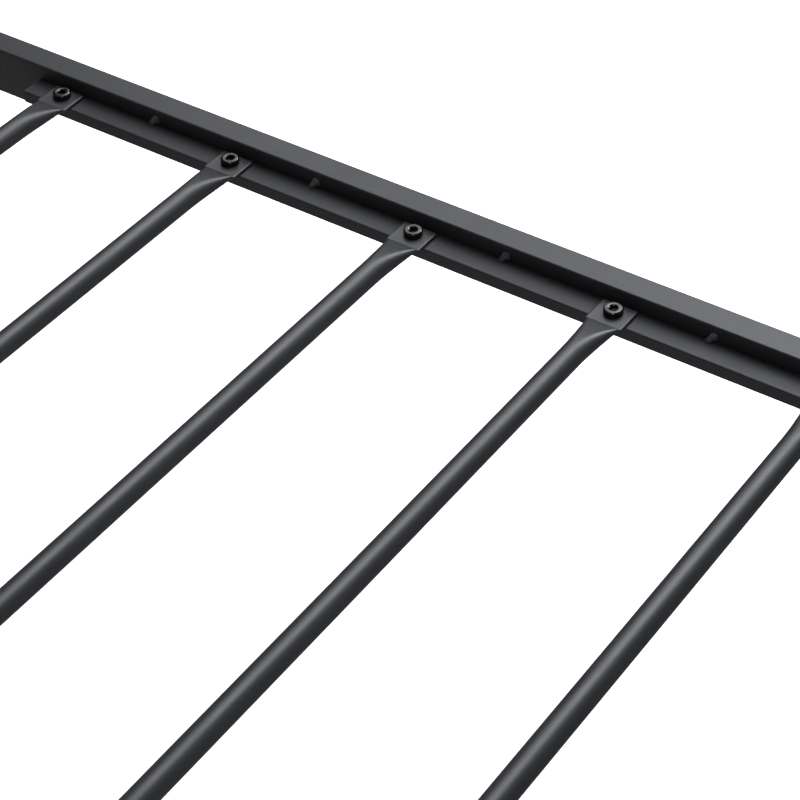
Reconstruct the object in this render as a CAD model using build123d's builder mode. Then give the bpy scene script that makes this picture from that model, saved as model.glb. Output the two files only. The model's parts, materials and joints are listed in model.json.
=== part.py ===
from build123d import *
import os

# A full-size metal bed base: a knock-down steel frame with bolted tube slats.
# X runs across the bed, +Y points to the head end and +Z is up. The origin is on
# the floor under the middle of the frame. All sizes are in millimetres.

os.makedirs("parts", exist_ok=True)

# ---- Driving dimensions ---------------------------------------------------------

slat_pitch = 160.0
slat_count = 11
rail_inner_x = 695.0            # from the middle plane to a side rail's inner face
frame_top = 350.0               # rail tops and post caps
rail_width = 20.0
rail_height = 40.0
rail_wall = 1.5
rail_corner = 1.2

post_size = 30.0
post_wall = 1.5
post_corner = 2.5
least_bore_corner = 0.4         # of any tube's bore
post_inner_y = 960.0            # a post's face that meets the side rail
fit_gap = 1.0                   # between a side rail's end and its post

ledge_drop = 12.0               # from the rail's top to the ledge's top
ledge_width = 20.0
ledge_height = 10.0
ledge_wall = 1.2
ledge_corner = 1.2
ledge_length = 1665.0

slat_diameter = 16.6
slat_wall = 1.0
slat_end_gap = 3.0              # from a slat's end to the rail's inner face
flat_width = 27.6
flat_thickness = 2.2            # two walls pressed together, with a fine slit
flat_length = 22.0
flare_length = 42.0             # from the flat's crease to the full round
slat_lift = 1.4                 # the tube's axis above the flat's middle plane
hole_from_rail = 12.0

thread_radius = 3.95            # an M8 thread as a plain shank
thread_clearance = 0.05         # between a bolt's shank and its nut
clear_radius = 4.25             # its clearance hole
head_radius = 6.8
head_height = 4.4
socket_flats = 5.0
socket_depth = 2.6
slat_bolt_length = 10.0
nut_flats = 13.0
nut_height = 6.2
nut_collar_radius = 5.9
nut_collar_height = 1.8

weld_leg = 3.4                  # a tack weld's size on each of its two faces
weld_length = 8.0
weld_belly = 0.62               # the bead's middle, in legs from each face
weld_at = 0.42                  # place of a bay's tack, in pitches past its slat
first_weld_at = 0.50            # the same in the bay nearest the head

end_weld_leg = 3.0

tongue_thickness = 3.0
tongue_length = 60.0
tongue_height = 30.0
tongue_bolt_spacing = 26.0
insert_flange = 1.0             # a rivet nut's flange stands off the tube by this
rivet_nut_radius = 5.5
rivet_nut_length = 13.0
ledge_nut_length = 8.6          # its top is flush with the ledge
rivet_flange_radius = 6.5
tongue_bolt_length = 16.0

beam_clearance = 0.1            # between the slats and the beam under them
beam_end_gap = 2.0
saddle_wall = 3.0
saddle_fit = 0.3
saddle_depth = 37.0
saddle_height = 36.0
saddle_plate_width = 46.0
saddle_plate_height = 50.0
saddle_bolt_stub = 3.0          # of a saddle bolt past its lock nut

leg_y = 480.0
leg_radius = 12.5
leg_wall = 1.5
leg_bottom = 16.0
flange_length = 84.0
flange_thickness = 3.0
flange_bolt_spacing = 60.0
flange_width = 30.0
flange_corner = 4.0
small_thread_radius = 2.95      # an M6 thread as a plain shank
small_clear_radius = 3.3
small_rivet_radius = 4.4
small_rivet_length = 11.0
small_rivet_flange_radius = 5.4
small_rivet_flange = 0.8
small_head_radius = 5.0
small_head_height = 5.0
small_bolt_length = 14.0
small_socket_flats = 4.0
small_socket_floor = 2.6        # from its seat to the bottom of its socket

insert_collar = 3.0
insert_depth = 22.0
foot_pad_radius = 16.0
foot_pad_height = 9.0
foot_thread_radius = 4.0
foot_thread_clearance = 0.1
foot_stud_length = 34.0
foot_stud_in_pad = 4.0
foot_stud_chamfer = 0.8
foot_pad_chamfer = 2.5
foot_nut_flats = 13.0
foot_nut_height = 2.0

cap_thickness = 3.0
cap_plug = 14.0
glide_thickness = 5.0
cap_chamfer = 0.8
glide_chamfer = 1.0
plug_wall = 2.0
plug_corner = 1.0
plug_fit = 0.1                  # between a plug and its tube
headboard_hole_low = 170.0
headboard_hole_spacing = 100.0

# ---- Worked out -----------------------------------------------------------------

rail_centre_x = rail_inner_x + rail_width / 2
rail_outer_x = rail_inner_x + rail_width
rail_centre_z = frame_top - rail_height / 2
post_x = rail_outer_x - post_size / 2
post_y = post_inner_y + post_size / 2
frame_end_y = post_inner_y + post_size
end_rail_y = frame_end_y - rail_width / 2
end_rail_inner_y = frame_end_y - rail_width
end_rail_length = 2 * (post_x - post_size / 2)
post_top = frame_top - cap_thickness

ledge_top = frame_top - ledge_drop
ledge_x = rail_inner_x - ledge_width / 2

slat_ys = [slat_pitch * ((slat_count - 1) / 2 - index) for index in range(slat_count)]
slat_end_x = rail_inner_x - slat_end_gap
bolt_x = rail_inner_x - hole_from_rail
flat_middle_z = ledge_top + flat_thickness / 2
flat_top = ledge_top + flat_thickness
slat_z = flat_middle_z + slat_lift
slat_radius = slat_diameter / 2
bolt_points = [(side * bolt_x, y) for side in (-1, 1) for y in slat_ys]

beam_top = slat_z - slat_radius - beam_clearance
beam_bottom = beam_top - rail_height
beam_z = beam_top - rail_height / 2
beam_length = 2 * (end_rail_inner_y - saddle_wall - beam_end_gap)
saddle_x = rail_width / 2 + saddle_fit
saddle_bottom = beam_bottom - saddle_fit - saddle_wall
saddle_bolt_y = end_rail_inner_y - saddle_wall - saddle_depth / 2
saddle_bolt_z = beam_bottom + rail_height / 2
flange_top = beam_bottom - small_rivet_flange
flange_bottom = flange_top - flange_thickness
leg_bolt_points = [
    (0, leg * leg_y + end * flange_bolt_spacing / 2) for leg in (-1, 1) for end in (-1, 1)
]

tongue_outer_x = rail_inner_x - insert_flange
tongue_inner_x = tongue_outer_x - tongue_thickness
tongue_y = post_inner_y - tongue_length / 2
tongue_bolt_ys = [
    end * (tongue_y + step * tongue_bolt_spacing / 2) for end in (-1, 1) for step in (-1, 1)
]


# ---- Shared shapes --------------------------------------------------------------

def tube_profile(width, height, wall, corner):
    """The section of a rectangular tube, in the open sketch."""
    RectangleRounded(width, height, corner)
    bore_corner = max(corner - wall, least_bore_corner)
    RectangleRounded(width - 2 * wall, height - 2 * wall, bore_corner, mode=Mode.SUBTRACT)


def side_plane(x, y, z, side):
    """A plane whose normal points along X towards the given side."""
    return Plane(origin=(x, y, z), x_dir=(0, 1, 0), z_dir=(side, 0, 0))


def y_plane(x, y, z):
    """A plane whose normal points along Y, with its x along the bed's X."""
    return Plane(origin=(x, y, z), x_dir=(1, 0, 0), z_dir=(0, -1, 0))


# ---- Side rails and slat ledges -------------------------------------------------

rail_length = 2 * (post_inner_y - fit_gap)
for side, side_name in ((-1, "left"), (1, "right")):
    with BuildPart() as side_rail:
        with BuildSketch(y_plane(side * rail_centre_x, 0, rail_centre_z)):
            tube_profile(rail_width, rail_height, rail_wall, rail_corner)
        extrude(amount=rail_length / 2, both=True)
        for y in tongue_bolt_ys:
            with BuildSketch(side_plane(side * rail_inner_x, y, rail_centre_z, side)):
                Circle(rivet_nut_radius)
            extrude(amount=2 * rail_wall, both=True, mode=Mode.SUBTRACT)
    side_rail.part.label = side_name + "_side_rail"
    export_step(side_rail.part, "parts/" + side_name + "_side_rail.step")

    with BuildPart() as slat_ledge:
        with BuildSketch(y_plane(side * ledge_x, 0, ledge_top - ledge_height / 2)):
            tube_profile(ledge_width, ledge_height, ledge_wall, ledge_corner)
        extrude(amount=ledge_length / 2, both=True)
        with BuildSketch(Plane.XY.offset(ledge_top)):
            with Locations(*[(side * bolt_x, y) for y in slat_ys]):
                Circle(rivet_nut_radius)
        extrude(amount=-ledge_height / 2, mode=Mode.SUBTRACT)
    slat_ledge.part.label = side_name + "_slat_ledge"
    export_step(slat_ledge.part, "parts/" + side_name + "_slat_ledge.step")

    weld_ys = [y - slat_pitch * weld_at for y in slat_ys[:-1]]
    weld_ys[0] = slat_ys[0] - slat_pitch * first_weld_at
    with BuildPart() as ledge_welds:
        for y in weld_ys:
            with BuildSketch(y_plane(side * rail_inner_x, y, ledge_top)):
                with BuildLine():
                    ThreePointArc(
                        (-side * weld_leg, 0),
                        (-side * weld_leg * weld_belly, weld_leg * weld_belly),
                        (0, weld_leg),
                    )
                    Polyline((0, weld_leg), (0, 0), (-side * weld_leg, 0))
                make_face()
            extrude(amount=weld_length / 2, both=True)
    ledge_welds.part.label = side_name + "_ledge_welds"
    export_step(ledge_welds.part, "parts/" + side_name + "_ledge_welds.step")


# ---- Slats: round tubes with flattened ends -------------------------------------

def half_slat(inset):
    """The slat's half on the +X side, its outside or, inset by the wall, its bore."""
    flat_x = slat_end_x - flat_length
    round_plane = side_plane(flat_x - flare_length, 0, slat_z, 1)
    flat_plane = side_plane(flat_x, 0, flat_middle_z, 1)
    with BuildPart() as half:
        # the round tube, from the middle of the bed to the flare
        with BuildSketch(side_plane(0, 0, slat_z, 1)):
            Circle(slat_radius - inset)
        extrude(amount=flat_x - flare_length)
        # the flare, where the tube narrows in height and spreads in width
        with BuildSketch(round_plane):
            Circle(slat_radius - inset)
        with BuildSketch(flat_plane):
            SlotOverall(flat_width - 2 * inset, flat_thickness - 2 * inset)
        loft(ruled=True)
        # the pressed end, from its crease to its tip
        with BuildSketch(flat_plane):
            SlotOverall(flat_width - 2 * inset, flat_thickness - 2 * inset)
        extrude(amount=flat_length)
    return half.part


with BuildPart() as end_to_middle:
    add(half_slat(0))
    add(half_slat(slat_wall), mode=Mode.SUBTRACT)
    with BuildSketch(Plane.XY.offset(ledge_top)):
        with Locations((bolt_x, 0)):
            Circle(clear_radius)
    extrude(amount=flat_thickness, mode=Mode.SUBTRACT)

for index, y in enumerate(slat_ys):
    with BuildPart() as slat:
        with Locations((0, y, 0)):
            add(end_to_middle.part)
        mirror(about=Plane.YZ)
    slat.part.label = f"slat_{index + 1}"
    export_step(slat.part, f"parts/slat_{index + 1}.step")

# ---- Slat fasteners: low-head bolts from above into rivet nuts in the ledge --------

with BuildPart() as slat_bolts:
    with BuildSketch(Plane.XY.offset(flat_top)):
        with Locations(*bolt_points):
            Circle(head_radius)
    extrude(amount=head_height)
    with BuildSketch(Plane.XY.offset(flat_top)):
        with Locations(*bolt_points):
            Circle(thread_radius)
    extrude(amount=-slat_bolt_length)
    with BuildSketch(Plane.XY.offset(flat_top + head_height)):
        with Locations(*bolt_points):
            RegularPolygon(socket_flats / 2, 6, major_radius=False)
    extrude(amount=-socket_depth, mode=Mode.SUBTRACT)
slat_bolts.part.label = "slat_bolts"
export_step(slat_bolts.part, "parts/slat_bolts.step")

with BuildPart() as ledge_rivet_nuts:
    with BuildSketch(Plane.XY.offset(ledge_top)):
        with Locations(*bolt_points):
            Circle(rivet_nut_radius)
            Circle(thread_radius + thread_clearance, mode=Mode.SUBTRACT)
    extrude(amount=-ledge_nut_length)
ledge_rivet_nuts.part.label = "ledge_rivet_nuts"
export_step(ledge_rivet_nuts.part, "parts/ledge_rivet_nuts.step")

# ---- End frames: four posts, a head rail and a foot rail -------------------------

for end, end_name in ((-1, "foot"), (1, "head")):
    for side, side_name in ((-1, "left"), (1, "right")):
        with BuildPart() as post:
            with BuildSketch(Plane.XY.offset(glide_thickness)):
                with Locations((side * post_x, end * post_y)):
                    tube_profile(post_size, post_size, post_wall, post_corner)
            extrude(amount=post_top - glide_thickness)
            if end == 1:
                hole_middle = headboard_hole_low + headboard_hole_spacing / 2
                with BuildSketch(y_plane(side * post_x, post_y, hole_middle)):
                    with GridLocations(0, headboard_hole_spacing, 1, 2):
                        Circle(clear_radius)
                extrude(amount=post_size, both=True, mode=Mode.SUBTRACT)
        post.part.label = f"{end_name}_{side_name}_post"
        export_step(post.part, f"parts/{end_name}_{side_name}_post.step")

    with BuildPart() as end_rail:
        with BuildSketch(side_plane(0, end * end_rail_y, rail_centre_z, 1)):
            tube_profile(rail_width, rail_height, rail_wall, rail_corner)
        extrude(amount=end_rail_length / 2, both=True)
    end_rail.part.label = end_name + "_rail"
    export_step(end_rail.part, "parts/" + end_name + "_rail.step")

corner_points = [(side * post_x, end * post_y) for side in (-1, 1) for end in (-1, 1)]
plug_size = post_size - 2 * post_wall - 2 * plug_fit
plug_bore = plug_size - 2 * plug_wall

with BuildPart() as post_caps:
    with BuildSketch(Plane.XY.offset(post_top)):
        with Locations(*corner_points):
            RectangleRounded(post_size, post_size, post_corner)
    extrude(amount=cap_thickness)
    chamfer(post_caps.edges().group_by(Axis.Z)[-1], cap_chamfer)
    with BuildSketch(Plane.XY.offset(post_top)):
        with Locations(*corner_points):
            RectangleRounded(plug_size, plug_size, plug_corner)
            RectangleRounded(plug_bore, plug_bore, plug_corner, mode=Mode.SUBTRACT)
    extrude(amount=-cap_plug)
post_caps.part.label = "post_caps"
export_step(post_caps.part, "parts/post_caps.step")

with BuildPart() as corner_glides:
    with BuildSketch(Plane.XY):
        with Locations(*corner_points):
            RectangleRounded(post_size, post_size, post_corner)
    extrude(amount=glide_thickness)
    chamfer(corner_glides.edges().group_by(Axis.Z)[0], glide_chamfer)
    with BuildSketch(Plane.XY.offset(glide_thickness)):
        with Locations(*corner_points):
            RectangleRounded(plug_size, plug_size, plug_corner)
            RectangleRounded(plug_bore, plug_bore, plug_corner, mode=Mode.SUBTRACT)
    extrude(amount=cap_plug)
corner_glides.part.label = "corner_glides"
export_step(corner_glides.part, "parts/corner_glides.step")

# ---- Tongue plates that bolt the side rails to the posts --------------------------

with BuildPart() as tongue_plates:
    for side in (-1, 1):
        with BuildSketch(side_plane(side * tongue_inner_x, 0, rail_centre_z, side)):
            for end in (-1, 1):
                with Locations((end * tongue_y, 0)):
                    Rectangle(tongue_length, tongue_height)
            with Locations(*[(y, 0) for y in tongue_bolt_ys]):
                Circle(clear_radius, mode=Mode.SUBTRACT)
        extrude(amount=tongue_thickness)
tongue_plates.part.label = "tongue_plates"
export_step(tongue_plates.part, "parts/tongue_plates.step")

with BuildPart() as tongue_bolts:
    for side in (-1, 1):
        for y in tongue_bolt_ys:
            with BuildSketch(side_plane(side * tongue_inner_x, y, rail_centre_z, -side)):
                Circle(head_radius)
                RegularPolygon(socket_flats / 2, 6, major_radius=False, mode=Mode.SUBTRACT)
            extrude(amount=head_height)
            with BuildSketch(side_plane(side * tongue_inner_x, y, rail_centre_z, -side)):
                Circle(head_radius)
            extrude(amount=head_height - socket_depth)
            with BuildSketch(side_plane(side * tongue_inner_x, y, rail_centre_z, side)):
                Circle(thread_radius)
            extrude(amount=tongue_bolt_length)
tongue_bolts.part.label = "tongue_bolts"
export_step(tongue_bolts.part, "parts/tongue_bolts.step")

with BuildPart() as tongue_rivet_nuts:
    for side in (-1, 1):
        for y in tongue_bolt_ys:
            with BuildSketch(side_plane(side * tongue_outer_x, y, rail_centre_z, side)):
                Circle(rivet_flange_radius)
                Circle(thread_radius + thread_clearance, mode=Mode.SUBTRACT)
            extrude(amount=insert_flange)
            with BuildSketch(side_plane(side * rail_inner_x, y, rail_centre_z, side)):
                Circle(rivet_nut_radius)
                Circle(thread_radius + thread_clearance, mode=Mode.SUBTRACT)
            extrude(amount=rivet_nut_length)
tongue_rivet_nuts.part.label = "tongue_rivet_nuts"
export_step(tongue_rivet_nuts.part, "parts/tongue_rivet_nuts.step")

# ---- Fillet welds of the end frames ----------------------------------------------

with BuildPart() as end_frame_welds:
    for side in (-1, 1):
        for end in (-1, 1):
            # along the end rail's inner upright edge, in the corner with the post
            with BuildSketch(Plane.XY.offset(rail_centre_z - rail_height / 2 + rail_corner)):
                with BuildLine():
                    corner = (side * (post_x - post_size / 2), end * end_rail_inner_y)
                    on_rail = (corner[0] - side * end_weld_leg, corner[1])
                    on_post = (corner[0], corner[1] - end * end_weld_leg)
                    Polyline(corner, on_rail, on_post, corner)
                make_face()
            extrude(amount=rail_height - 2 * rail_corner)
            # along the tongue plate's inner upright edge, where it meets the post
            with BuildSketch(Plane.XY.offset(rail_centre_z - tongue_height / 2)):
                with BuildLine():
                    corner = (side * tongue_inner_x, end * post_inner_y)
                    on_plate = (corner[0], corner[1] - end * end_weld_leg)
                    on_post = (corner[0] - side * end_weld_leg, corner[1])
                    Polyline(corner, on_plate, on_post, corner)
                make_face()
            extrude(amount=tongue_height)
end_frame_welds.part.label = "end_frame_welds"
export_step(end_frame_welds.part, "parts/end_frame_welds.step")

# ---- Centre beam and its saddles ---------------------------------------------------

with BuildPart() as centre_beam:
    with BuildSketch(y_plane(0, 0, beam_z)):
        tube_profile(rail_width, rail_height, rail_wall, rail_corner)
    extrude(amount=beam_length / 2, both=True)
    for end in (-1, 1):
        with BuildSketch(side_plane(0, end * saddle_bolt_y, saddle_bolt_z, 1)):
            Circle(clear_radius)
        extrude(amount=rail_width, both=True, mode=Mode.SUBTRACT)
    with BuildSketch(Plane.XY.offset(beam_bottom - rail_wall)):
        with Locations(*leg_bolt_points):
            Circle(small_rivet_radius)
    extrude(amount=3 * rail_wall, mode=Mode.SUBTRACT)
centre_beam.part.label = "centre_beam"
export_step(centre_beam.part, "parts/centre_beam.step")

for end, end_name in ((-1, "foot"), (1, "head")):
    plate_y = end * (end_rail_inner_y - saddle_wall / 2)
    saddle_y = end * (end_rail_inner_y - saddle_wall - saddle_depth / 2)
    with BuildPart() as beam_saddle:
        with BuildSketch(Plane.XY.offset(saddle_bottom)):
            with Locations((0, plate_y)):
                Rectangle(saddle_plate_width, saddle_wall)
        extrude(amount=saddle_plate_height)
        with BuildSketch(Plane.XY.offset(saddle_bottom)):
            with Locations((0, saddle_y)):
                Rectangle(2 * (saddle_x + saddle_wall), saddle_depth)
        extrude(amount=saddle_height)
        with BuildSketch(Plane.XY.offset(saddle_bottom + saddle_wall)):
            with Locations((0, saddle_y)):
                Rectangle(2 * saddle_x, saddle_depth)
        extrude(amount=saddle_height, mode=Mode.SUBTRACT)
        with BuildSketch(side_plane(0, end * saddle_bolt_y, saddle_bolt_z, 1)):
            Circle(clear_radius)
        extrude(amount=2 * saddle_x, both=True, mode=Mode.SUBTRACT)
    beam_saddle.part.label = end_name + "_beam_saddle"
    export_step(beam_saddle.part, "parts/" + end_name + "_beam_saddle.step")

saddle_outer_x = saddle_x + saddle_wall
saddle_bolt_length = 2 * saddle_outer_x + nut_height + nut_collar_height + saddle_bolt_stub
with BuildPart() as saddle_bolts:
    for end in (-1, 1):
        with BuildSketch(side_plane(saddle_outer_x, end * saddle_bolt_y, saddle_bolt_z, 1)):
            Circle(head_radius)
            RegularPolygon(socket_flats / 2, 6, major_radius=False, mode=Mode.SUBTRACT)
        extrude(amount=head_height)
        with BuildSketch(side_plane(saddle_outer_x, end * saddle_bolt_y, saddle_bolt_z, 1)):
            Circle(head_radius)
        extrude(amount=head_height - socket_depth)
        with BuildSketch(side_plane(saddle_outer_x, end * saddle_bolt_y, saddle_bolt_z, -1)):
            Circle(thread_radius)
        extrude(amount=saddle_bolt_length)
saddle_bolts.part.label = "saddle_bolts"
export_step(saddle_bolts.part, "parts/saddle_bolts.step")

with BuildPart() as saddle_lock_nuts:
    for end in (-1, 1):
        with BuildSketch(side_plane(-saddle_outer_x, end * saddle_bolt_y, saddle_bolt_z, -1)):
            RegularPolygon(nut_flats / 2, 6, major_radius=False)
            Circle(thread_radius + thread_clearance, mode=Mode.SUBTRACT)
        extrude(amount=nut_height)
        with BuildSketch(
            side_plane(-saddle_outer_x - nut_height, end * saddle_bolt_y, saddle_bolt_z, -1)
        ):
            Circle(nut_collar_radius)
            Circle(thread_radius + thread_clearance, mode=Mode.SUBTRACT)
        extrude(amount=nut_collar_height)
saddle_lock_nuts.part.label = "saddle_lock_nuts"
export_step(saddle_lock_nuts.part, "parts/saddle_lock_nuts.step")

# ---- Centre legs, their flanges and fasteners --------------------------------------

for leg, leg_name in ((-1, "foot"), (1, "head")):
    y = leg * leg_y
    with BuildPart() as centre_leg:
        with BuildSketch(Plane.XY.offset(leg_bottom)):
            with Locations((0, y)):
                Circle(leg_radius)
                Circle(leg_radius - leg_wall, mode=Mode.SUBTRACT)
        extrude(amount=flange_bottom - leg_bottom)
    centre_leg.part.label = leg_name + "_centre_leg"
    export_step(centre_leg.part, "parts/" + leg_name + "_centre_leg.step")

    with BuildPart() as leg_flange:
        with BuildSketch(Plane.XY.offset(flange_bottom)):
            with Locations((0, y)):
                RectangleRounded(flange_width, flange_length, flange_corner)
                with GridLocations(0, flange_bolt_spacing, 1, 2):
                    Circle(small_clear_radius, mode=Mode.SUBTRACT)
        extrude(amount=flange_thickness)
    leg_flange.part.label = leg_name + "_leg_flange"
    export_step(leg_flange.part, "parts/" + leg_name + "_leg_flange.step")

    with BuildPart() as leg_insert:
        with BuildSketch(Plane.XY.offset(leg_bottom - insert_collar)):
            with Locations((0, y)):
                Circle(leg_radius)
                Circle(foot_thread_radius + foot_thread_clearance, mode=Mode.SUBTRACT)
        extrude(amount=insert_collar)
        with BuildSketch(Plane.XY.offset(leg_bottom)):
            with Locations((0, y)):
                Circle(leg_radius - leg_wall - plug_fit)
                Circle(foot_thread_radius + foot_thread_clearance, mode=Mode.SUBTRACT)
        extrude(amount=insert_depth)
    leg_insert.part.label = leg_name + "_leg_insert"
    export_step(leg_insert.part, "parts/" + leg_name + "_leg_insert.step")

    with BuildPart() as foot_stud:
        with BuildSketch(Plane.XY.offset(foot_pad_height - foot_stud_in_pad)):
            with Locations((0, y)):
                Circle(foot_thread_radius)
        extrude(amount=foot_stud_in_pad + foot_stud_length)
        chamfer(foot_stud.edges().group_by(Axis.Z)[-1], foot_stud_chamfer)
    foot_stud.part.label = leg_name + "_foot_stud"
    export_step(foot_stud.part, "parts/" + leg_name + "_foot_stud.step")

    with BuildPart() as foot_pad:
        with BuildSketch(Plane.XY):
            with Locations((0, y)):
                Circle(foot_pad_radius)
        extrude(amount=foot_pad_height - foot_nut_height)
        chamfer(foot_pad.edges().group_by(Axis.Z)[-1], foot_pad_chamfer)
        with BuildSketch(Plane.XY.offset(foot_pad_height - foot_nut_height)):
            with Locations((0, y)):
                RegularPolygon(foot_nut_flats / 2, 6, major_radius=False)
        extrude(amount=foot_nut_height)
        with BuildSketch(Plane.XY.offset(foot_pad_height - foot_stud_in_pad)):
            with Locations((0, y)):
                Circle(foot_thread_radius)
        extrude(amount=foot_stud_in_pad, mode=Mode.SUBTRACT)
    foot_pad.part.label = leg_name + "_foot_pad"
    export_step(foot_pad.part, "parts/" + leg_name + "_foot_pad.step")

with BuildPart() as leg_bolts:
    with BuildSketch(Plane.XY.offset(flange_bottom)):
        with Locations(*leg_bolt_points):
            Circle(small_head_radius)
            RegularPolygon(small_socket_flats / 2, 6, major_radius=False, mode=Mode.SUBTRACT)
    extrude(amount=-small_head_height)
    with BuildSketch(Plane.XY.offset(flange_bottom)):
        with Locations(*leg_bolt_points):
            Circle(small_head_radius)
    extrude(amount=-small_socket_floor)
    with BuildSketch(Plane.XY.offset(flange_bottom)):
        with Locations(*leg_bolt_points):
            Circle(small_thread_radius)
    extrude(amount=small_bolt_length)
leg_bolts.part.label = "leg_bolts"
export_step(leg_bolts.part, "parts/leg_bolts.step")

with BuildPart() as leg_rivet_nuts:
    with BuildSketch(Plane.XY.offset(flange_top)):
        with Locations(*leg_bolt_points):
            Circle(small_rivet_flange_radius)
            Circle(small_thread_radius + thread_clearance, mode=Mode.SUBTRACT)
    extrude(amount=small_rivet_flange)
    with BuildSketch(Plane.XY.offset(beam_bottom)):
        with Locations(*leg_bolt_points):
            Circle(small_rivet_radius)
            Circle(small_thread_radius + thread_clearance, mode=Mode.SUBTRACT)
    extrude(amount=small_rivet_length)
leg_rivet_nuts.part.label = "leg_rivet_nuts"
export_step(leg_rivet_nuts.part, "parts/leg_rivet_nuts.step")
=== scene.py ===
import json
from math import cos, pi, radians, sin, sqrt

import bmesh
import bpy
from mathutils import Matrix, Vector, noise


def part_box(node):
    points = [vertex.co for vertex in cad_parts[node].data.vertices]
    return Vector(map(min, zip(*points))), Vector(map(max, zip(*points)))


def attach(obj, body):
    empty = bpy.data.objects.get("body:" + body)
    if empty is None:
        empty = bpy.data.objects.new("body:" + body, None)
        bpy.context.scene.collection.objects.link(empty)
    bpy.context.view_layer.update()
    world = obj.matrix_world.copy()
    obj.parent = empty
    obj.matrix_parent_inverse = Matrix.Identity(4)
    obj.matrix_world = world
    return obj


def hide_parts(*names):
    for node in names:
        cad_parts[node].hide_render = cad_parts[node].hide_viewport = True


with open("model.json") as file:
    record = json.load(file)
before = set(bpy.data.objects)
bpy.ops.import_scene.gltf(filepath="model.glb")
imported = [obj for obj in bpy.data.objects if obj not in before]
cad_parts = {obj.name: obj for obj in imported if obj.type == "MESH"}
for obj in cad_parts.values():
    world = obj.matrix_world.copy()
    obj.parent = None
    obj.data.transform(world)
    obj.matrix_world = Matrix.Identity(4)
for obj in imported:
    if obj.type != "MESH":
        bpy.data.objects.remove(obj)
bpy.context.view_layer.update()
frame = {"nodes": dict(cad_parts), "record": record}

# Metres, in the CAD frame: +X right side of the bed, +Y head end, +Z up.
MM = 0.001
POWDER = "graphite_powder_coat"
BLACK_STEEL = "black_oxide_steel"
ZINC = "zinc_plated_steel"
PLASTIC = "black_plastic"
ROOT = "frame"

# ---- Materials -----------------------------------------------------------------------


def new_material(name):
    """An empty node material, with its tree, shader and object coordinates."""
    material = bpy.data.materials.new(name)
    material.use_nodes = True
    tree = material.node_tree
    tree.nodes.clear()
    output = tree.nodes.new("ShaderNodeOutputMaterial")
    shader = tree.nodes.new("ShaderNodeBsdfPrincipled")
    tree.links.new(shader.outputs["BSDF"], output.inputs["Surface"])
    coordinates = tree.nodes.new("ShaderNodeTexCoord")
    return material, tree, shader, coordinates.outputs["Object"]


def noise_of(tree, coordinates, scale, detail, roughness):
    """A noise texture's value, at a scale in features per metre."""
    node = tree.nodes.new("ShaderNodeTexNoise")
    node.inputs["Scale"].default_value = scale
    node.inputs["Detail"].default_value = detail
    node.inputs["Roughness"].default_value = roughness
    tree.links.new(coordinates, node.inputs["Vector"])
    return node.outputs["Fac"]


def ramp_of(tree, value, stops):
    """A colour ramp over value, with (place, colour) stops."""
    node = tree.nodes.new("ShaderNodeValToRGB")
    tree.links.new(value, node.inputs["Fac"])
    elements = node.color_ramp.elements
    for element, (place, colour) in zip(elements, stops):
        element.position = place
        element.color = (*colour, 1.0)
    for place, colour in stops[2:]:
        elements.new(place).color = (*colour, 1.0)
    return node.outputs["Color"]


def range_of(tree, value, low, high):
    """value mapped from 0.3..0.7, where most noise values lie, to low..high."""
    node = tree.nodes.new("ShaderNodeMapRange")
    node.inputs["From Min"].default_value = 0.3
    node.inputs["From Max"].default_value = 0.7
    node.inputs["To Min"].default_value = low
    node.inputs["To Max"].default_value = high
    tree.links.new(value, node.inputs["Value"])
    return node.outputs["Result"]


def add_bump(tree, shader, layers):
    """Bump from (height value, strength, distance in metres) layers, one on another."""
    normal = None
    for height, strength, distance in layers:
        bump = tree.nodes.new("ShaderNodeBump")
        bump.inputs["Strength"].default_value = strength
        bump.inputs["Distance"].default_value = distance
        tree.links.new(height, bump.inputs["Height"])
        if normal is not None:
            tree.links.new(normal, bump.inputs["Normal"])
        normal = bump.outputs["Normal"]
    tree.links.new(normal, shader.inputs["Normal"])


def powder_coat(name, dark, pale, smoothest, roughest, specular=0.5):
    """Satin graphite powder coat: orange peel, a fine grain and faint handling marks."""
    material, tree, shader, at = new_material(name)
    patches = noise_of(tree, at, 9.0, 4.0, 0.6)
    dark_colour = tuple(tint * dark for tint in (0.97, 1.0, 1.11))
    pale_colour = tuple(tint * pale for tint in (0.97, 1.0, 1.11))
    colour = ramp_of(tree, patches, [(0.30, dark_colour), (0.72, pale_colour)])
    tree.links.new(colour, shader.inputs["Base Color"])
    smudges = noise_of(tree, at, 38.0, 5.0, 0.65)
    tree.links.new(range_of(tree, smudges, smoothest, roughest), shader.inputs["Roughness"])
    shader.inputs["Specular IOR Level"].default_value = specular
    peel = noise_of(tree, at, 620.0, 2.0, 0.45)
    grain = noise_of(tree, at, 2600.0, 2.0, 0.6)
    add_bump(tree, shader, [(peel, 0.16, 0.0004), (grain, 0.10, 0.00012)])
    return material


def black_oxide():
    """Black-oxide steel with a little oil: dark, glossy and faintly warm."""
    material, tree, shader, at = new_material("black oxide steel")
    patches = noise_of(tree, at, 260.0, 4.0, 0.6)
    colour = ramp_of(tree, patches, [(0.32, (0.042, 0.041, 0.038)), (0.70, (0.082, 0.079, 0.074))])
    tree.links.new(colour, shader.inputs["Base Color"])
    shader.inputs["Metallic"].default_value = 1.0
    stains = noise_of(tree, at, 700.0, 3.0, 0.6)
    tree.links.new(range_of(tree, stains, 0.14, 0.26), shader.inputs["Roughness"])
    forge = noise_of(tree, at, 1500.0, 3.0, 0.55)
    add_bump(tree, shader, [(forge, 0.25, 0.00012)])
    return material


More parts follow.
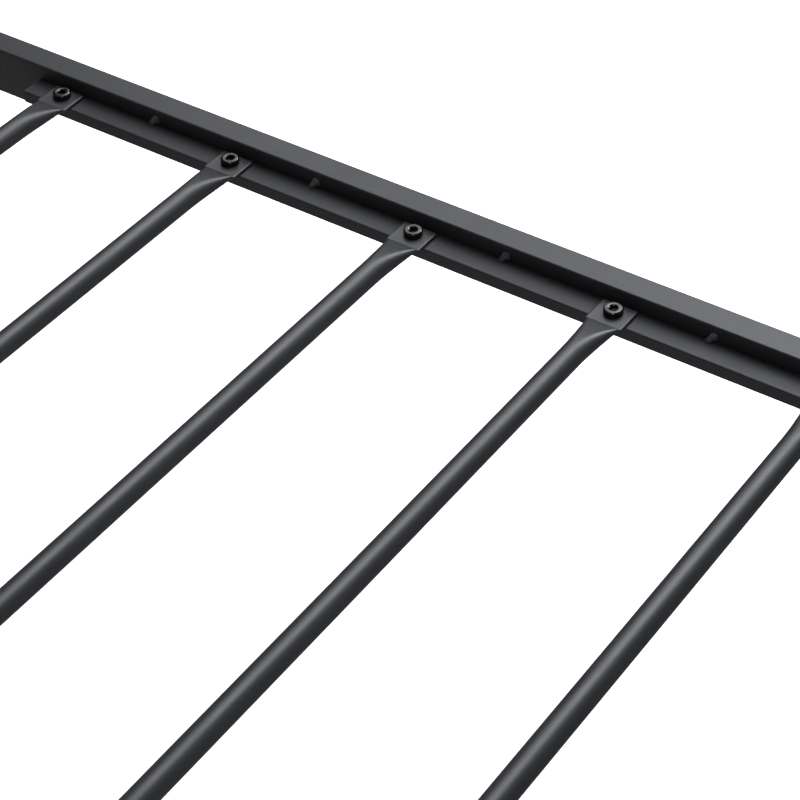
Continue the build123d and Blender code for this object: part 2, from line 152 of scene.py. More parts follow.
def zinc_plate():
    """Bright zinc plate, with the cloudy spangle of a small plated fastener."""
    material, tree, shader, at = new_material("zinc plate")
    clouds = noise_of(tree, at, 180.0, 4.0, 0.6)
    colour = ramp_of(
        tree, clouds, [(0.28, (0.46, 0.47, 0.49)), (0.72, (0.64, 0.64, 0.63)), (0.50, (0.54, 0.56, 0.59))]
    )
    tree.links.new(colour, shader.inputs["Base Color"])
    shader.inputs["Metallic"].default_value = 1.0
    marks = noise_of(tree, at, 420.0, 3.0, 0.6)
    tree.links.new(range_of(tree, marks, 0.24, 0.40), shader.inputs["Roughness"])
    pits = noise_of(tree, at, 2200.0, 2.0, 0.5)
    add_bump(tree, shader, [(pits, 0.15, 0.00010)])
    return material


def moulded_plastic():
    """Black polyethylene with a fine moulded grain."""
    material, tree, shader, at = new_material("moulded plastic")
    patches = noise_of(tree, at, 60.0, 3.0, 0.6)
    colour = ramp_of(tree, patches, [(0.30, (0.016, 0.016, 0.017)), (0.70, (0.026, 0.026, 0.028))])
    tree.links.new(colour, shader.inputs["Base Color"])
    scuffs = noise_of(tree, at, 240.0, 4.0, 0.6)
    tree.links.new(range_of(tree, scuffs, 0.48, 0.62), shader.inputs["Roughness"])
    texture = noise_of(tree, at, 3000.0, 2.0, 0.5)
    add_bump(tree, shader, [(texture, 0.35, 0.00010)])
    return material


materials = {
    POWDER: powder_coat("graphite powder coat", 0.0180, 0.0240, 0.38, 0.45),
    BLACK_STEEL: black_oxide(),
    ZINC: zinc_plate(),
    PLASTIC: moulded_plastic(),
}

# The weld beads get a paler, shinier coat than the tubes, the paler colour a painted highlight for the
# glint on the beads; the ledges get a slightly darker, flatter one, the darker colour painted shade for
# the shadow the rails cast on them.
weld_coat_painted_highlight = powder_coat("powder coat on weld with painted highlight", 0.075, 0.105, 0.24, 0.34)
ledge_coat_painted_shade = powder_coat("powder coat on ledge with painted shade", 0.0165, 0.0220, 0.40, 0.47, specular=0.36)

# ---- Mesh helpers --------------------------------------------------------------------


class Shell:
    """Vertices and faces gathered for one piece."""

    def __init__(self):
        self.points = []
        self.faces = []

    def ring(self, points):
        """Adds a ring of points and returns their numbers."""
        start = len(self.points)
        self.points.extend(Vector(p) for p in points)
        return list(range(start, len(self.points)))

    def join(self, first, second):
        """Quads between two rings with the same number of points."""
        count = len(first)
        for i in range(count):
            j = (i + 1) % count
            self.faces.append((first[i], first[j], second[j], second[i]))

    def loft(self, rings, closed=False):
        """Skins a list of rings, and back to the first one where closed is true."""
        numbers = [self.ring(points) for points in rings]
        for first, second in zip(numbers, numbers[1:]):
            self.join(first, second)
        if closed:
            self.join(numbers[-1], numbers[0])
        return numbers

    def cap(self, numbers, centre):
        """A fan that closes a ring at a centre point."""
        middle = self.ring([centre])[0]
        count = len(numbers)
        for i in range(count):
            j = (i + 1) % count
            self.faces.append((numbers[i], numbers[j], middle))


def finish_piece(name, shell, slot, nodes, body=ROOT, sharp=38.0, finish=None):
    """Makes the object, gives it its finish and body, and hides the nodes it stands for."""
    mesh = bpy.data.meshes.new(name)
    mesh.from_pydata([tuple(p) for p in shell.points], [], shell.faces)
    mesh.validate()
    work = bmesh.new()
    work.from_mesh(mesh)
    bmesh.ops.recalc_face_normals(work, faces=work.faces)
    work.to_mesh(mesh)
    work.free()
    mesh.shade_smooth()
    mesh.set_sharp_from_angle(angle=radians(sharp))
    mesh.materials.append(finish or materials[slot])
    piece = bpy.data.objects.new(name, mesh)
    bpy.context.scene.collection.objects.link(piece)
    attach(piece, body)
    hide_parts(*nodes)


def rounded_outline(width, height, radius, steps=6, beside=0.3 * MM):
    """Points of a rounded rectangle about the origin, with one on each flat beside each arc."""
    points = []
    for quarter, (sx, sy) in enumerate(((1, 1), (-1, 1), (-1, -1), (1, -1))):
        centre = Vector((sx * (width / 2 - radius), sy * (height / 2 - radius)))
        start = Vector((cos(quarter * pi / 2), sin(quarter * pi / 2)))
        stop = Vector((-start.y, start.x))
        points.append(tuple(centre + radius * start - beside * stop))
        for step in range(steps + 1):
            angle = step / steps * pi / 2
            points.append(tuple(centre + radius * (start * cos(angle) + stop * sin(angle))))
        points.append(tuple(centre + radius * stop - beside * start))
    return points


def polygon_radius(flats, angle):
    """The radius of a hexagon with that width across its flats, at an angle."""
    step = pi / 3
    folded = (angle + step / 2) % step - step / 2
    return flats / 2 / cos(folded)


def placed(outline, axis, along, centre):
    """Outline points set across an axis (0, 1 or 2) at a place along it."""
    points = []
    for a, b in outline:
        p = [0.0, 0.0, 0.0]
        p[axis] = along
        p[(axis + 1) % 3] = centre[(axis + 1) % 3] + a
        p[(axis + 2) % 3] = centre[(axis + 2) % 3] + b
        points.append(p)
    return points


def add_tube(shell, low, high, axis, wall, corner, chamfer=0.25 * MM):
    """A hollow rounded-rectangle tube that fills a box, open at both ends."""
    first, second = (axis + 1) % 3, (axis + 2) % 3
    centre = [(low[i] + high[i]) / 2 for i in range(3)]
    width = high[first] - low[first]
    height = high[second] - low[second]
    inner_radius = max(corner - wall, 0.5 * MM)

    def outer(along, inset=0.0):
        """The outside outline at a place along the tube."""
        outline = rounded_outline(width - 2 * inset, height - 2 * inset, corner - inset / 2)
        return placed(outline, axis, along, centre)

    def inner(along, inset=0.0):
        """The bore's outline at a place along the tube."""
        outline = rounded_outline(
            width - 2 * wall + 2 * inset, height - 2 * wall + 2 * inset, inner_radius + inset / 2
        )
        return placed(outline, axis, along, centre)

    start, stop = low[axis], high[axis]
    rings = [
        inner(stop - chamfer),
        inner(start + chamfer),
        inner(start, chamfer / 2),
        outer(start, chamfer),
        outer(start + chamfer),
        outer(stop - chamfer),
        outer(stop, chamfer),
        inner(stop, chamfer / 2),
    ]
    shell.loft(rings, closed=True)


def node_box(node):
    """The low and high corners of a node's CAD box, as lists."""
    low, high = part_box(node)
    return list(low), list(high)


# ---- Tubes: side rails, ledges, end rails, centre beam -------------------------------

rail_wall = 1.5 * MM
rail_corner = 1.2 * MM
ledge_wall = 1.2 * MM
ledge_corner = 1.2 * MM

for node, axis, wall, corner in (
    ("left_side_rail", 1, rail_wall, rail_corner),
    ("right_side_rail", 1, rail_wall, rail_corner),
    ("left_slat_ledge", 1, ledge_wall, ledge_corner),
    ("right_slat_ledge", 1, ledge_wall, ledge_corner),
    ("head_rail", 0, rail_wall, rail_corner),
    ("foot_rail", 0, rail_wall, rail_corner),
    ("centre_beam", 1, rail_wall, rail_corner),
):
    shell = Shell()
    low, high = node_box(node)
    add_tube(shell, low, high, axis, wall, corner)
    # The ledges take the darker coat, whose darkness is painted shade for the shadow the rails cast on
    # them.
    finish = ledge_coat_painted_shade if node.endswith("slat_ledge") else None
    finish_piece(node + "_tube", shell, POWDER, [node], finish=finish)

# ---- Slats ---------------------------------------------------------------------------

slat_nodes = sorted(
    (n for n in frame["nodes"] if n.startswith("slat_") and n[5:].isdigit()), key=lambda n: int(n[5:])
)
ledge_top = node_box("right_slat_ledge")[1][2]
slat_low, slat_high = node_box(slat_nodes[0])
slat_tip_x = slat_high[0]
slat_radius = (slat_high[2] - slat_low[2]) / 2
slat_axis_z = (slat_high[2] + slat_low[2]) / 2
flat_half_width = (slat_high[1] - slat_low[1]) / 2
flat_thickness = 2.2 * MM
flat_length = 22.0 * MM
flare_length = 42.0 * MM
flat_z = ledge_top + flat_thickness / 2
slat_points = 96
# Behind the flat each side of the slat draws in, by a little less than the waist.
waist = 1.7 * MM
tip_radius = 0.9 * MM


def smooth(t):
    """An S-curve from 0 to 1."""
    t = min(max(t, 0.0), 1.0)
    return t * t * (3 - 2 * t)


def stadium_outline(half_width, half_height, count):
    """A flat pill shape, with points at even steps of arc from its +X end."""
    straight = 2 * (half_width - half_height)
    bend = pi * half_height
    total = 2 * straight + 2 * bend
    points = []
    for i in range(count):
        s = i / count * total + bend / 2
        if s > total:
            s -= total
        if s < bend:
            angle = -pi / 2 + s / half_height
            points.append((straight / 2 + half_height * cos(angle), half_height * sin(angle)))
        elif s < bend + straight:
            points.append((straight / 2 - (s - bend), half_height))
        elif s < 2 * bend + straight:
            angle = pi / 2 + (s - bend - straight) / half_height
            points.append((-straight / 2 + half_height * cos(angle), half_height * sin(angle)))
        else:
            points.append((-straight / 2 + (s - 2 * bend - straight), -half_height))
    return points


def slat_section(s):
    """The slat's outline at a distance s from its tip, and the height of its centre."""
    past = min(max((s - flat_length) / flare_length, 0.0), 1.0)
    rise = sin(pi / 2 * past**0.88)
    pinch = waist * smooth((s - flat_length) / waist) * (1 - rise) ** 1.5
    half_height = flat_thickness / 2 + (slat_radius - flat_thickness / 2) * rise
    half_width = flat_half_width + (slat_radius - flat_half_width) * rise - pinch
    if s < tip_radius:
        half_width -= tip_radius - sqrt(tip_radius**2 - (tip_radius - s) ** 2)
    outline = []
    dish = 0.07 * (1 - smooth(past / 0.1))
    for a, b in stadium_outline(half_width, half_height, slat_points):
        edge = smooth((abs(a) - 8.5 * MM) / (4.0 * MM))
        outline.append((a, b * (1 - dish * (1 - edge))))
    return outline, flat_z + (slat_axis_z - flat_z) * rise


def slat_stations():
    """Distances from the tip where the slat's outline is worked out, tip to round tube."""
    stations = [0.0, 0.1, 0.3, 0.6, 0.9, 2.0, 5.0, 9.0, 13.0, 17.0, 20.0, 21.3]
    stations += [21.85, 22.0, 22.15, 22.5, 22.9, 23.3, 23.8, 24.8, 26.0]
    stations = [s * MM for s in stations]
    last = stations[-1]
    steps = 26
    for step in range(1, steps + 1):
        stations.append(last + (flat_length + flare_length - last) * step / steps)
    return stations


def build_slat(node):
    """One slat: a round tube with both ends pressed flat, and the slit left at each tip."""
    low, high = node_box(node)
    y = (low[1] + high[1]) / 2
    shell = Shell()
    rings = []
    for s in slat_stations():
        outline, z = slat_section(s)
        rings.append([(slat_tip_x - s, y + a, z + b) for a, b in outline])
    rings += [[(-x, yy, z) for x, yy, z in ring] for ring in reversed(rings)]
    numbers = shell.loft(rings)
    slit_outline = stadium_outline(flat_half_width - 3.2 * MM, 0.12 * MM, slat_points)
    for side, end_ring in ((1, numbers[0]), (-1, numbers[-1])):
        mouth = shell.ring([(side * slat_tip_x, y + a, flat_z + b) for a, b in slit_outline])
        depth = slat_tip_x - 4 * MM
        bottom = shell.ring([(side * depth, y + a, flat_z + b) for a, b in slit_outline])
        shell.join(end_ring, mouth)
        shell.join(mouth, bottom)
        shell.cap(bottom, (side * depth, y, flat_z))
    finish_piece(node + "_tube", shell, POWDER, [node], sharp=60.0)


for node in slat_nodes:
    build_slat(node)

# ---- Welds ---------------------------------------------------------------------------


def middle_y(node):
    """The y of a node's middle."""
    low, high = node_box(node)
    return (low[1] + high[1]) / 2


def add_tack(shell, corner, side, leg, length, seed):
    """A short two-lobed bead in the corner of a ledge (toward -side X) and a rail (up)."""
    rows = []
    steps_along, steps_around = 20, 16
    for i in range(steps_along + 1):
        along = -1 + 2 * i / steps_along
        end = sqrt(max(0.0, 1 - along * along))
        row = []
        for j in range(steps_around + 1):
            around = j / steps_around
            lobe = 0.80 + 0.20 * abs(cos(pi * around))
            ripple = 1 + 0.07 * cos(along * 3.2 * pi + 1.4 * around)
            wobble = 1 + 0.16 * noise.noise(Vector((along * 2.1, around * 2.7, seed)))
            reach = leg * lobe * (0.30 + 0.70 * end) * ripple * wobble
            skew = 3.0 * MM * (0.5 - around)
            across, up = reach * cos(around * pi / 2), 1.55 * reach * sin(around * pi / 2)
            row.append((corner[0] - side * across, corner[1] + along * length / 2 + skew, corner[2] + up))
        row.append((corner[0], corner[1] + along * length / 2, corner[2]))
        rows.append(row)
    numbers = shell.loft(rows)
    shell.cap(numbers[0], (corner[0], corner[1] - length / 2, corner[2]))
    shell.cap(numbers[-1], (corner[0], corner[1] + length / 2, corner[2]))


tack_leg = 4.5 * MM
tack_length = 5.2 * MM
slat_pitch = middle_y(slat_nodes[0]) - middle_y(slat_nodes[1])
for node, side in (("left_ledge_welds", -1), ("right_ledge_welds", 1)):
    shell = Shell()
    low, high = node_box(node)
    for bay, slat in enumerate(slat_nodes[:-1]):
        tack_y = middle_y(slat) - slat_pitch * (0.50 if bay == 0 else 0.42)
        corner = (high[0] if side > 0 else low[0], tack_y, low[2])
        add_tack(shell, corner, side, tack_leg, tack_length, bay * 3.7 + side)
    # The beads take the paler coat, whose paleness is a painted highlight for their glint.
    finish_piece(node + "_beads", shell, POWDER, [node], sharp=60.0, finish=weld_coat_painted_highlight)


def add_fillet(shell, x, y, low_z, high_z, to_x, to_y, leg, seed):
    """An upright fillet weld: scales one on another up a corner that opens to to_x, to_y."""
    scale_pitch = 1.9 * MM
    steps = int((high_z - low_z) / (scale_pitch / 5))
    rows = []
    for i in range(steps + 1):
        z = low_z + (high_z - low_z) * i / steps
        scale = abs(sin(pi * (z - low_z) / scale_pitch))
        end = min(1.0, (z - low_z) / leg + 0.3, (high_z - z) / leg + 0.3)
        row = []
        for j in range(11):
            around = j / 10 * pi / 2
            belly = 0.80 + 0.20 * abs(cos(2 * around))
            wobble = 1 + 0.08 * noise.noise(Vector((z * 260, around * 2, seed)))
            reach = leg * belly * end * (0.90 + 0.10 * scale) * wobble
            droop = 0.5 * MM * sin(2 * around) * end
            row.append((x + to_x * reach * cos(around), y + to_y * reach * sin(around), z - droop))
        row.append((x, y, z))
        rows.append(row)
    numbers = shell.loft(rows)
    shell.cap(numbers[0], (x, y, low_z))
    shell.cap(numbers[-1], (x, y, high_z))


end_weld_leg = 3.0 * MM
tongue_plate_thickness = 3.0 * MM
end_welds = Shell()
for end, rail in ((-1, "foot_rail"), (1, "head_rail")):
    rail_low, rail_high = node_box(rail)
    plates_low, plates_high = node_box("tongue_plates")
    weld_low = rail_low[2] + rail_corner
    weld_high = rail_high[2] - rail_corner
    rail_face = rail_low[1] if end > 0 else rail_high[1]
    plate_end = plates_high[1] if end > 0 else plates_low[1]
    for side in (-1, 1):
        rail_end = rail_high[0] if side > 0 else rail_low[0]
        plate_x = side * (plates_high[0] - tongue_plate_thickness)
        seed = 5.0 * end + side
        add_fillet(
            end_welds, rail_end, rail_face, weld_low, weld_high, -side, -end, end_weld_leg, seed
        )
        add_fillet(
            end_welds, plate_x, plate_end, plates_low[2], plates_high[2], -side, -end,
            end_weld_leg, seed + 1,
        )
finish_piece("end_frame_weld_beads", end_welds, POWDER, ["end_frame_welds"], sharp=60.0)

# ---- Fasteners -----------------------------------------------------------------------

round_points = 72
M8_BOLT = {"head": 6.8, "height": 4.4, "thread": 3.95, "pitch": 1.25, "flats": 5.0, "depth": 2.6}
M6_BOLT = {"head": 5.0, "height": 5.0, "thread": 2.95, "pitch": 1.0, "flats": 4.0, "depth": 2.4}


def frame_at(origin, direction, turn=0.0):
    """A matrix that sets local +Z along a direction at a point, turned about it."""
    lean = Vector((0, 0, 1)).rotation_difference(Vector(direction)).to_matrix().to_4x4()
    return Matrix.Translation(Vector(origin)) @ lean @ Matrix.Rotation(turn, 4, "Z")


def turned_ring(matrix, z, radius):
    """A ring at a height z; its radius is a number, or a function of the angle."""
    points = []
    for i in range(round_points):
        angle = 2 * pi * i / round_points
        r = radius(angle) if callable(radius) else radius
        points.append(matrix @ Vector((r * cos(angle), r * sin(angle), z)))
    return points


def hexagon(flats, cone=1.0):
    """A hexagon's radius as a function of the angle, cut back to a cone's radius."""
    return lambda angle: min(polygon_radius(flats, angle), cone)


def thread_rings(matrix, radius, pitch, bottom, top):
    """The rings of a threaded rod from bottom to top, with a chamfered start."""
    per_turn = 6
    depth = 0.5 * pitch
    count = max(int((top - bottom) / pitch * per_turn), 2)
    rings = []
    for k in range(count + 1):
        z = bottom + (top - bottom) * k / count
        start = min(1.0, (z - bottom) / (0.9 * pitch))

        def thread(angle, z=z, start=start):
            ridge = 1 - abs(2 * ((z / pitch - angle / (2 * pi)) % 1.0) - 1)
            return radius - depth * (1 - ridge) * start - 0.6 * depth * (1 - start)

        rings.append(turned_ring(matrix, z, thread))
    return rings


def knurled(radius, depth=0.30 * MM, teeth=24):
    """A straight-knurled radius: round ridges with grooves between them."""
    return lambda angle: radius - depth * abs(cos(teeth / 2 * angle)) ** 3


def add_socket_bolt(shell, seat, direction, size, length, plain, turn=0.0):
    """A socket bolt; direction points from its head's seat out of the head."""
    matrix = frame_at(seat, direction, turn)
    head, height, thread, pitch, flats, depth = (
        size[key] * MM for key in ("head", "height", "thread", "pitch", "flats", "depth")
    )
    rings = thread_rings(matrix, thread, pitch, -length, -plain)
    rings += [turned_ring(matrix, z, radius) for z, radius in (
        (-plain + 0.4 * MM, thread),
        (-0.02 * MM, thread),
        (0.0, head * 0.94),
        (0.30 * MM, head * 0.985),
        (0.50 * MM, knurled(head)),
        (height - 1.05 * MM, knurled(head)),
        (height - 0.85 * MM, head * 0.985),
        (height - 0.70 * MM, head * 0.975),
        (height - 0.08 * MM, head * 0.865),
        (height, head * 0.835),
        (height, flats / 2 * 1.36),
        (height - 0.04 * MM, flats / 2 * 1.33),
        (height - 0.34 * MM, flats / 2 * 1.16),
        (height - 0.60 * MM, hexagon(flats)),
        (height - depth, hexagon(flats)),
    )]
    numbers = shell.loft(rings)
    shell.cap(numbers[0], matrix @ Vector((0, 0, -length)))
    shell.cap(numbers[-1], matrix @ Vector((0, 0, height - depth - 0.7 * MM)))


def add_lock_nut(shell, face, direction, turn=0.0):
    """A hexagon lock nut with chamfered corners and a rolled collar; it opens along direction."""
    matrix = frame_at(face, direction, turn)
    flats, height, collar, total, bore = 13 * MM, 6.2 * MM, 5.9 * MM, 8.0 * MM, 4.0 * MM
    half = flats / 2
    rings = [turned_ring(matrix, z, radius) for z, radius in (
        (0.6 * MM, bore),
        (0.0, bore + 0.5 * MM),
        (0.0, half * 0.96),
        (0.12 * MM, hexagon(flats, half * 1.01)),
        (0.40 * MM, hexagon(flats, half * 1.06)),
        (0.85 * MM, hexagon(flats, half * 1.16)),
        (height - 1.0 * MM, hexagon(flats, half * 1.16)),
        (height - 0.5 * MM, hexagon(flats, half * 1.06)),
        (height - 0.2 * MM, hexagon(flats, half)),
        (height, collar + 0.25 * MM),
        (height + 0.25 * MM, collar),
        (total - 0.7 * MM, collar),
        (total - 0.25 * MM, collar - 0.3 * MM),
        (total, collar - 0.9 * MM),
        (total - 0.15 * MM, collar - 1.25 * MM),
        (total - 0.45 * MM, collar - 1.35 * MM),
        (total - 0.45 * MM, bore),
    )]
    shell.loft(rings, closed=True)


M8_HEAD = M8_BOLT["head"] * MM
M8_PITCH = M8_BOLT["pitch"] * MM
bolt_low, bolt_high = node_box("slat_bolts")
slat_bolt_x = bolt_high[0] - M8_HEAD
slat_bolt_seat = ledge_top + flat_thickness
slat_bolt_length = slat_bolt_seat - bolt_low[2]

bolts = Shell()
for number, node in enumerate(slat_nodes):
    for side in (-1, 1):
        turn = radians((number * 47 + side * 19) % 60)
        seat = (side * slat_bolt_x, middle_y(node), slat_bolt_seat)
        add_socket_bolt(bolts, seat, (0, 0, 1), M8_BOLT, slat_bolt_length, 2.4 * MM, turn)
finish_piece("slat_socket_bolts", bolts, BLACK_STEEL, ["slat_bolts"], sharp=30.0)

tongue_bolt_spacing = 26.0 * MM
low, high = node_box("tongue_bolts")
plates_low, plates_high = node_box("tongue_plates")
plate_x = plates_high[0] - tongue_plate_thickness
tongue_bolt_ys = [high[1] - M8_HEAD, high[1] - M8_HEAD - tongue_bolt_spacing]
bolts = Shell()
for side in (-1, 1):
    for y in [sign * value for sign in (-1, 1) for value in tongue_bolt_ys]:
        seat = (side * plate_x, y, (low[2] + high[2]) / 2)
        add_socket_bolt(bolts, seat, (-side, 0, 0), M8_BOLT, high[0] - plate_x, 4.5 * MM, 9 * y + side)
finish_piece("tongue_socket_bolts", bolts, BLACK_STEEL, ["tongue_bolts"], sharp=30.0)

low, high = node_box("saddle_bolts")
nut_face_x = node_box("saddle_lock_nuts")[1][0]
saddle_bolt_z = (low[2] + high[2]) / 2
saddle_bolt_y = high[1] - M8_HEAD
seat_x = high[0] - M8_BOLT["height"] * MM
bolts = Shell()
nuts = Shell()
for end in (-1, 1):
    y = end * saddle_bolt_y
    seat = (seat_x, y, saddle_bolt_z)
    add_socket_bolt(bolts, seat, (1, 0, 0), M8_BOLT, seat_x - low[0], 14 * MM, 0.3 * end)
    add_lock_nut(nuts, (nut_face_x, y, saddle_bolt_z), (-1, 0, 0), 0.2 * end)
finish_piece("saddle_socket_bolts", bolts, BLACK_STEEL, ["saddle_bolts"], sharp=30.0)
finish_piece("saddle_hex_nuts", nuts, ZINC, ["saddle_lock_nuts"], sharp=30.0)

leg_bolt_offset = 30 * MM
low, high = node_box("leg_bolts")
leg_bolt_seat = low[2] + M6_BOLT["height"] * MM
bolts = Shell()
for leg in ("foot_centre_leg", "head_centre_leg"):
    for offset in (-leg_bolt_offset, leg_bolt_offset):
        seat = (0, middle_y(leg) + offset, leg_bolt_seat)
        add_socket_bolt(bolts, seat, (0, 0, -1), M6_BOLT, high[2] - leg_bolt_seat, 4 * MM, 20 * offset)
finish_piece("leg_socket_bolts", bolts, BLACK_STEEL, ["leg_bolts"], sharp=30.0)

# ---- Centre legs, inserts and levelling feet -----------------------------------------


def add_turned(shell, x, y, profile):
    """A closed turned ring about an upright axis, from (radius, z) pairs."""
    matrix = Matrix.Translation(Vector((x, y, 0)))
    shell.loft([turned_ring(matrix, z, radius) for radius, z in profile], closed=True)


def edged(inner, outer, low_z, high_z, edge):
    """The profile of a plain ring with its four edges broken."""
    return [
        (inner, high_z - edge), (inner, low_z + edge), (inner + edge, low_z), (outer - edge, low_z),
        (outer - 0.3 * edge, low_z + 0.3 * edge), (outer, low_z + edge), (outer, high_z - edge),
        (outer - 0.3 * edge, high_z - 0.3 * edge), (outer - edge, high_z), (inner + edge, high_z),
    ]


leg_wall = 1.5 * MM
insert_collar = 3 * MM
foot_hex_flats = 13 * MM
stud_bore = 4.05 * MM

for end in ("foot", "head"):
    leg_node = end + "_centre_leg"
    y = middle_y(leg_node)
    low, high = node_box(leg_node)
    leg_radius = high[0]
    leg = Shell()
    add_turned(leg, 0, y, edged(leg_radius - leg_wall, leg_radius, low[2], high[2], 0.25 * MM))
    finish_piece(leg_node + "_tube", leg, POWDER, [leg_node])

    insert_node = end + "_leg_insert"
    low, high = node_box(insert_node)
    collar_top = low[2] + insert_collar
    insert = Shell()
    bore, plug = 4.1 * MM, leg_radius - 1.6 * MM
    add_turned(insert, 0, y, [
        (bore, high[2]),
        (bore, low[2] + 0.6 * MM),
        (bore + 0.6 * MM, low[2]),
        (high[0] - 1.0 * MM, low[2]),
        (high[0] - 0.35 * MM, low[2] + 0.25 * MM),
        (high[0], low[2] + 0.9 * MM),
        (high[0], collar_top - 0.3 * MM),
        (high[0] - 0.3 * MM, collar_top),
        (plug, collar_top),
        (plug, high[2] - 1.5 * MM),
        (plug - 1.2 * MM, high[2]),
    ])
    finish_piece(insert_node + "_moulding", insert, PLASTIC, [insert_node])

    body = end + "_levelling_foot"
    stud_node = end + "_foot_stud"
    low, high = node_box(stud_node)
    stud = Shell()
    turned = frame_at((0, y, high[2]), (0, 0, -1))
    length = high[2] - low[2]
    core = high[0] * 0.86
    rings = thread_rings(turned, high[0], M8_PITCH, 0.0, length - 4.2 * MM)
    rings += [turned_ring(turned, length - 4.0 * MM, core), turned_ring(turned, length, core)]
    numbers = stud.loft(rings)
    stud.cap(numbers[0], turned @ Vector((0, 0, 0)))
    stud.cap(numbers[-1], turned @ Vector((0, 0, length)))
    finish_piece(stud_node + "_rod", stud, ZINC, [stud_node], body=body, sharp=30.0)

    pad_node = end + "_foot_pad"
    low, high = node_box(pad_node)
    hex_top, pad_top, pad_radius = high[2], high[2] - 2 * MM, high[0]
    pad = Shell()
    rings = [turned_ring(Matrix.Translation(Vector((0, y, 0))), z, radius) for z, radius in (
        (low[2] + 0.5 * MM, 9.0 * MM),
        (low[2], 9.6 * MM),
        (low[2], pad_radius - 1.4 * MM),
        (low[2] + 0.25 * MM, pad_radius - 0.7 * MM),
        (low[2] + 0.8 * MM, pad_radius - 0.1 * MM),
        (low[2] + 1.6 * MM, pad_radius),
        (pad_top - 3.0 * MM, pad_radius),
        (pad_top - 2.0 * MM, pad_radius - 0.3 * MM),
        (pad_top - 0.9 * MM, pad_radius - 1.3 * MM),
        (pad_top - 0.2 * MM, pad_radius - 2.4 * MM),
        (pad_top, pad_radius - 3.4 * MM),
        (pad_top, hexagon(foot_hex_flats + 1.0 * MM, 9.0 * MM)),
        (pad_top + 0.3 * MM, hexagon(foot_hex_flats, 9.0 * MM)),
        (hex_top - 0.5 * MM, hexagon(foot_hex_flats, 9.0 * MM)),
        (hex_top, hexagon(foot_hex_flats - 0.8 * MM, 7.0 * MM)),
        (hex_top, stud_bore),
        (low[2] + 4.5 * MM, stud_bore),
    )]
    numbers = pad.loft(rings)
    pad.cap(numbers[0], (0, y, low[2] + 0.5 * MM))
    pad.cap(numbers[-1], (0, y, low[2] + 4.5 * MM))
    finish_piece(pad_node + "_moulding", pad, PLASTIC, [pad_node], body=body, sharp=30.0)

# ---- Post caps and glides ------------------------------------------------------------


def add_stopper(shell, x, y, edge_z, outward, thickness, dome):
    """A post's plastic end stopper: a domed square head and a hollow plug with a lead-in."""
    size, radius, plug, plug_wall, plug_depth = 30 * MM, 2.5 * MM, 26.8 * MM, 2.0 * MM, 14 * MM
    crown = thickness - dome

    def level(width, corner, height):
        """A rounded square at a height out from the post's edge."""
        z = edge_z + outward * height
        return [(x + a, y + b, z) for a, b in rounded_outline(width, width, corner)]

    hollow = plug - 2 * plug_wall
    numbers = shell.loft([
        level(hollow, 1.0 * MM, -0.4 * MM),
        level(hollow, 1.0 * MM, -plug_depth + 0.3 * MM),
        level(hollow + 0.6 * MM, 1.0 * MM, -plug_depth),
        level(plug - 1.6 * MM, 1.0 * MM, -plug_depth),
        level(plug, 1.0 * MM, -plug_depth + 2.0 * MM),
        level(plug, 1.0 * MM, 0.0),
        level(size - 0.5 * MM, radius, 0.0),
        level(size - 0.1 * MM, radius, 0.15 * MM),
        level(size, radius, 0.45 * MM),
        level(size, radius, crown - 0.8 * MM),
        level(size - 0.2 * MM, radius, crown - 0.35 * MM),
        level(size - 0.8 * MM, radius, crown - 0.05 * MM),
        level(size - 2.0 * MM, radius, crown + 0.25 * dome),
        level(size - 5.0 * MM, radius, crown + 0.52 * dome),
        level(size - 10.0 * MM, radius, crown + 0.76 * dome),
        level(size - 18.0 * MM, radius, crown + 0.93 * dome),
    ])
    shell.cap(numbers[0], (x, y, edge_z - outward * 0.4 * MM))
    shell.cap(numbers[-1], (x, y, edge_z + outward * thickness))


caps = Shell()
glides = Shell()
for post in ("foot_left_post", "foot_right_post", "head_left_post", "head_right_post"):
    low, high = node_box(post)
    x, y = (low[0] + high[0]) / 2, (low[1] + high[1]) / 2
    add_stopper(caps, x, y, high[2], 1, 3 * MM, 0.7 * MM)
    add_stopper(glides, x, y, low[2], -1, 5 * MM, 0.3 * MM)
finish_piece("post_cap_mouldings", caps, PLASTIC, ["post_caps"])
finish_piece("corner_glide_mouldings", glides, PLASTIC, ["corner_glides"])

# ---- Camera, floor and light ---------------------------------------------------------

slat_one_y = middle_y(slat_nodes[0])
rail_low, rail_high = node_box("right_side_rail")


def from_rail(along, outward, up):
    """A place told from the first slat's end: along the rail, outward from its face, up."""
    return Vector((rail_low[0] + outward, slat_one_y - along, ledge_top + up))


camera_data = bpy.data.cameras.new("camera")
camera_data.sensor_width = 36.0
camera_data.lens = 106.88
camera_data.clip_end = 100.0
camera = bpy.data.objects.new("camera", camera_data)
bpy.context.scene.collection.objects.link(camera)
camera_place = from_rail(1.0931, -1.0594, 0.9922)
azimuth, elevation, roll = radians(37.105), radians(41.230), radians(-3.122)
forward = Vector((cos(elevation) * cos(azimuth), cos(elevation) * sin(azimuth), -sin(elevation)))
level = forward.cross(Vector((0, 0, 1))).normalized()
above = level.cross(forward)
right = level * cos(roll) + above * sin(roll)
up = right.cross(forward)
turn = Matrix((right, up, -forward)).transposed().to_4x4()
camera.matrix_world = Matrix.Translation(camera_place) @ turn
bpy.context.scene.camera = camera

floor_mesh = bpy.data.meshes.new("floor")
reach = 40.0
floor_mesh.from_pydata(
    [(-reach, -reach, 0), (reach, -reach, 0), (reach, reach, 0), (-reach, reach, 0)], [], [(0, 1, 2, 3)]
)
floor_piece = bpy.data.objects.new("floor", floor_mesh)
bpy.context.scene.collection.objects.link(floor_piece)
floor_material, _, floor_shader, _ = new_material("pale floor")
floor_shader.inputs["Base Color"].default_value = (0.85, 0.85, 0.85, 1)
floor_shader.inputs["Roughness"].default_value = 0.9
floor_shader.inputs["Emission Color"].default_value = (1, 1, 1, 1)
floor_shader.inputs["Emission Strength"].default_value = 0.72
floor_mesh.materials.append(floor_material)
floor_piece.visible_glossy = False

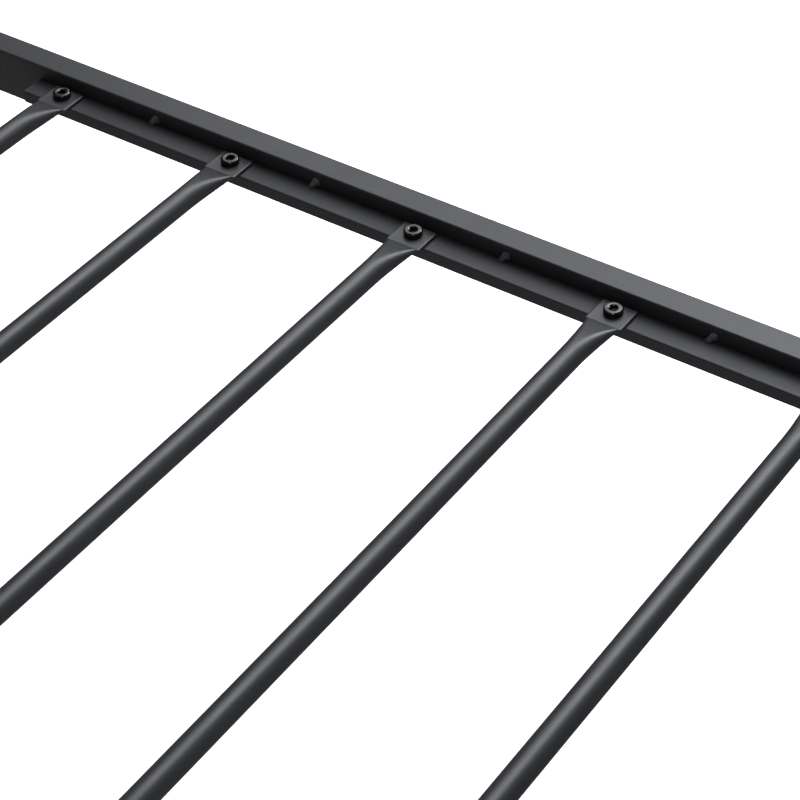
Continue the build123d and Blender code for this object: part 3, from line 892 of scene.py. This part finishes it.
bpy.context.scene.view_settings.view_transform = "Standard"
world = bpy.data.worlds.new("studio")
bpy.context.scene.world = world
world.use_nodes = True
world_tree = world.node_tree
world_tree.nodes.clear()
world_out = world_tree.nodes.new("ShaderNodeOutputWorld")
seen = world_tree.nodes.new("ShaderNodeBackground")
seen.inputs["Color"].default_value = (0.94, 0.94, 0.95, 1)
room = world_tree.nodes.new("ShaderNodeBackground")
room.inputs["Color"].default_value = (1.0, 0.98, 0.98, 1)
room.inputs["Strength"].default_value = 0.125
path = world_tree.nodes.new("ShaderNodeLightPath")
choose = world_tree.nodes.new("ShaderNodeMixShader")
world_tree.links.new(path.outputs["Is Camera Ray"], choose.inputs["Fac"])
world_tree.links.new(room.outputs["Background"], choose.inputs[1])
world_tree.links.new(seen.outputs["Background"], choose.inputs[2])
world_tree.links.new(choose.outputs["Shader"], world_out.inputs["Surface"])


def soft_light(name, direction, distance, size, radiance, colour=(0.96, 0.97, 1.0)):
    """A square softbox that faces the frame's middle from a direction."""
    data = bpy.data.lights.new(name, "AREA")
    data.shape = "SQUARE"
    data.size = size
    data.energy = radiance * pi * size * size
    data.color = colour
    light = bpy.data.objects.new(name, data)
    bpy.context.scene.collection.objects.link(light)
    target = Vector((0.25, 0.25, ledge_top))
    place = target + Vector(direction).normalized() * distance
    aim = (target - place).to_track_quat("-Z", "Y").to_matrix().to_4x4()
    light.matrix_world = Matrix.Translation(place) @ aim


soft_light("key softbox", (0.60, 0.20, 0.76), 3.2, 3.0, 2.4)
soft_light("key centre", (0.60, 0.05, 0.80), 3.2, 1.6, 4.6, (0.90, 0.94, 1.0))
soft_light("low softbox", (0.92, -0.10, 0.38), 3.2, 1.3, 9.0, (0.90, 0.94, 1.0))
soft_light("overhead lamp", (-0.37, -0.27, 0.89), 2.4, 0.34, 24.0)

# ---- CAD nodes that keep their shape -------------------------------------------------

slot_of = {row["node"]: row["material_slot"] for row in frame["record"]["subparts"]}
broken_edges = {
    "beam_saddle": 0.35 * MM,
    "leg_flange": 0.40 * MM,
    "tongue_plates": 0.35 * MM,
    "post": 0.25 * MM,
}
for node, obj in frame["nodes"].items():
    obj.data.materials.clear()
    obj.data.materials.append(materials[slot_of[node]])
    for ending, width in broken_edges.items():
        if node.endswith(ending):
            bevel = obj.modifiers.new("broken edges", "BEVEL")
            bevel.width = width
            bevel.segments = 2
            bevel.limit_method = "ANGLE"
            bevel.angle_limit = radians(40)
